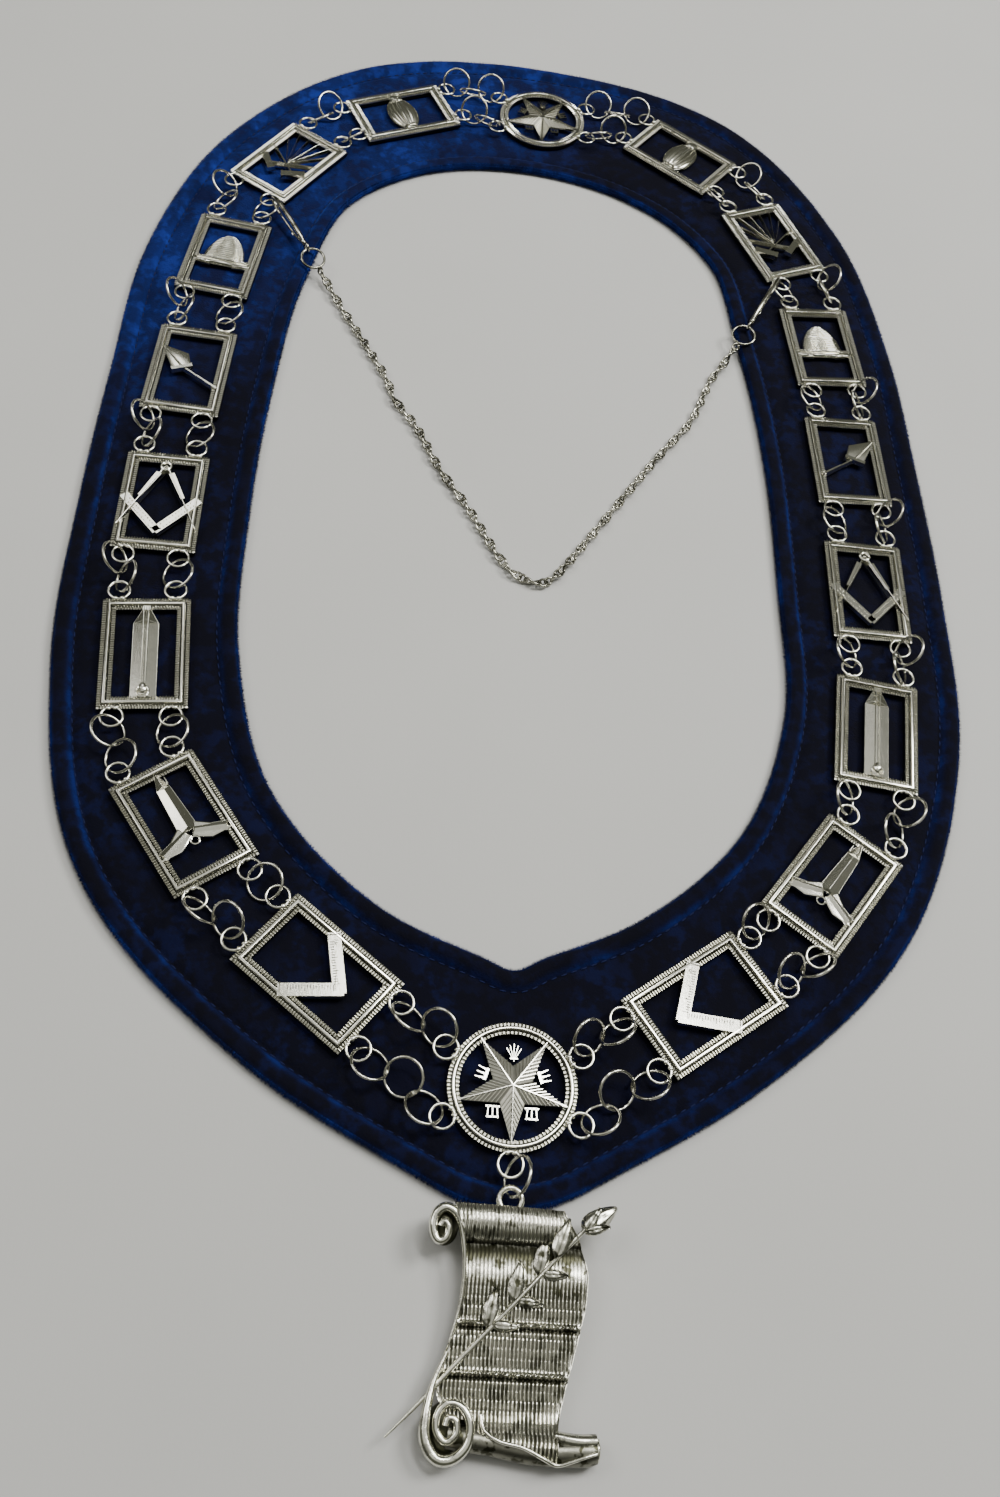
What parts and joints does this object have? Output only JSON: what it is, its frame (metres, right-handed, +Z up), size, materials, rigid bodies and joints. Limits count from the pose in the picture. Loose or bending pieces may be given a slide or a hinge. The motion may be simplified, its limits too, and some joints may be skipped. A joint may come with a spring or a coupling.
{
  "type": "masonic chain collar",
  "caption": "Oval lodge officer's chain collar: pierced metal plaques and star medallions on jump rings over a padded blue velvet band, with a cast scroll pendant and a clasped fine chain.",
  "frame": {"origin": "under the middle of the whole collar's box, on the surface that the collar lies on", "axes": "+Z up from that surface, +Y from the pendant towards the back of the neck, +X to the right as it lies"},
  "size_m": [0.2916, 0.533, 0.0137],
  "materials": {
    "nickel_plate": "polished cast relief, dark in the recesses",
    "bright_wire": "bright drawn wire",
    "cast_scroll": "polished casting, dark in the recesses",
    "blue_velvet": "deep royal blue crushed velvet"
  },
  "bodies": {
    "collar": {"fine_chain": "bright_wire", "medallion_bottom": "nickel_plate", "medallion_top": "nickel_plate", "pendant_link": "bright_wire", "plaque_left_1_square": "nickel_plate", "plaque_left_2_level": "nickel_plate", "plaque_left_3_plumb": "nickel_plate", "plaque_left_4_compasses": "nickel_plate", "plaque_left_5_trowel": "nickel_plate", "plaque_left_6_beehive": "nickel_plate", "plaque_left_7_gavels": "nickel_plate", "plaque_left_8_globe": "nickel_plate", "plaque_right_1_square": "nickel_plate", "plaque_right_2_level": "nickel_plate", "plaque_right_3_plumb": "nickel_plate", "plaque_right_4_compasses": "nickel_plate", "plaque_right_5_trowel": "nickel_plate", "plaque_right_6_beehive": "nickel_plate", "plaque_right_7_gavels": "nickel_plate", "plaque_right_8_globe": "nickel_plate", "rings_left_1_2_inner": "bright_wire", "rings_left_1_2_outer": "bright_wire", "rings_left_2_3_inner": "bright_wire", "rings_left_2_3_outer": "bright_wire", "rings_left_3_4_inner": "bright_wire", "rings_left_3_4_outer": "bright_wire", "rings_left_4_5_inner": "bright_wire", "rings_left_4_5_outer": "bright_wire", "rings_left_5_6_inner": "bright_wire", "rings_left_5_6_outer": "bright_wire", "rings_left_6_7_inner": "bright_wire", "rings_left_6_7_outer": "bright_wire", "rings_left_7_8_inner": "bright_wire", "rings_left_7_8_outer": "bright_wire", "rings_left_bottom_inner": "bright_wire", "rings_left_bottom_outer": "bright_wire", "rings_left_top_inner": "bright_wire", "rings_left_top_outer": "bright_wire", "rings_right_1_2_inner": "bright_wire", "rings_right_1_2_outer": "bright_wire", "rings_right_2_3_inner": "bright_wire", "rings_right_2_3_outer": "bright_wire", "rings_right_3_4_inner": "bright_wire", "rings_right_3_4_outer": "bright_wire", "rings_right_4_5_inner": "bright_wire", "rings_right_4_5_outer": "bright_wire", "rings_right_5_6_inner": "bright_wire", "rings_right_5_6_outer": "bright_wire", "rings_right_6_7_inner": "bright_wire", "rings_right_6_7_outer": "bright_wire", "rings_right_7_8_inner": "bright_wire", "rings_right_7_8_outer": "bright_wire", "rings_right_bottom_inner": "bright_wire", "rings_right_bottom_outer": "bright_wire", "rings_right_top_inner": "bright_wire", "rings_right_top_outer": "bright_wire", "scroll_pendant": "cast_scroll", "velvet_collar": "blue_velvet"},
    "lever_left": {"clasp_lever_left": "bright_wire"},
    "lever_right": {"clasp_lever_right": "bright_wire"}
  },
  "joints": [
    {"name": "clasp_lever_left_hinge", "type": "hinge", "parent": "collar", "child": "lever_left", "pos_m": [-0.08723, 0.13819, 0.0059], "axis": [0.8283, 0.5602, 0], "range_deg": [0, 7], "stiffness_Nm_per_rad": 0.0003, "springref_deg": -5.73},
    {"name": "clasp_lever_right_hinge", "type": "hinge", "parent": "collar", "child": "lever_right", "pos_m": [0.08583, 0.12459, 0.00599], "axis": [0.8929, -0.4503, 0], "range_deg": [0, 7], "stiffness_Nm_per_rad": 0.0003, "springref_deg": -5.73}
  ]
}
